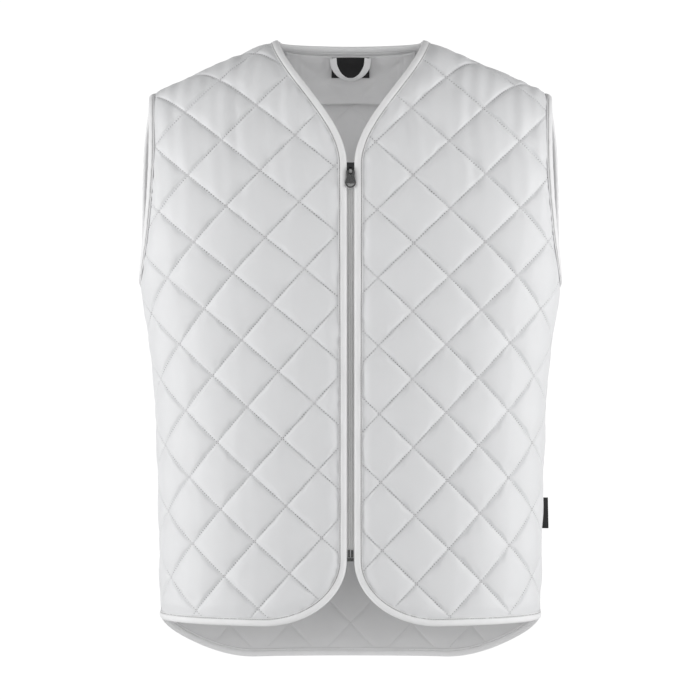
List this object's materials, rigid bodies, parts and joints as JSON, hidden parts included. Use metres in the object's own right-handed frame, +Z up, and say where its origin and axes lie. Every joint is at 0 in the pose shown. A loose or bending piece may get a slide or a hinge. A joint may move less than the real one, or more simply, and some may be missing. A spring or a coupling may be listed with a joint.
{
  "type": "insulated vest",
  "caption": "Sleeveless quilted thermal vest with a V neck, front zip, bound edges, rounded front corners and a drop tail, worn over a shirt for warmth.",
  "frame": {"origin": "middle of the neck opening, level with the top of the shoulders where the vest sits on its wearer", "axes": "+Z up, -Y out of the front with the zip, +X to the wearer's left"},
  "size_m": [0.494, 0.2404, 0.7326],
  "materials": {
    "quilt": "white woven polyester, soft satin sheen, quilted",
    "facing": "plain white lining cloth",
    "binding": "white woven tape",
    "zip_tape": "light grey woven zip tape",
    "zip_teeth": "light grey moulded teeth",
    "zip_metal": "dark gunmetal",
    "black_tape": "black woven tape, bare"
  },
  "bodies": {
    "vest": {"front_panel_right": "quilt", "front_panel_left": "quilt", "back_panel": "quilt", "neck_facing": "facing", "binding_front_right": "binding", "binding_front_left": "binding", "binding_back_neck": "binding", "binding_back_hem": "binding", "binding_armhole_right": "binding", "binding_armhole_left": "binding", "zip_tape_right": "zip_tape", "zip_tape_left": "zip_tape", "zip_coil_right": "zip_teeth", "zip_coil_left": "zip_teeth", "zip_pin_right": "zip_metal", "zip_pin_left": "zip_metal", "zip_box": "zip_metal", "zip_slider": "zip_metal", "neck_label": "black_tape", "hanger_loop": "binding", "side_tab": "black_tape"},
    "puller": {"zip_puller": "zip_metal"}
  },
  "joints": [
    {"name": "puller_swing", "type": "hinge", "parent": "vest", "child": "puller", "pos_m": [0, -0.10771, -0.15772], "axis": [-1, 0, 0], "range_deg": [0, 170]}
  ]
}
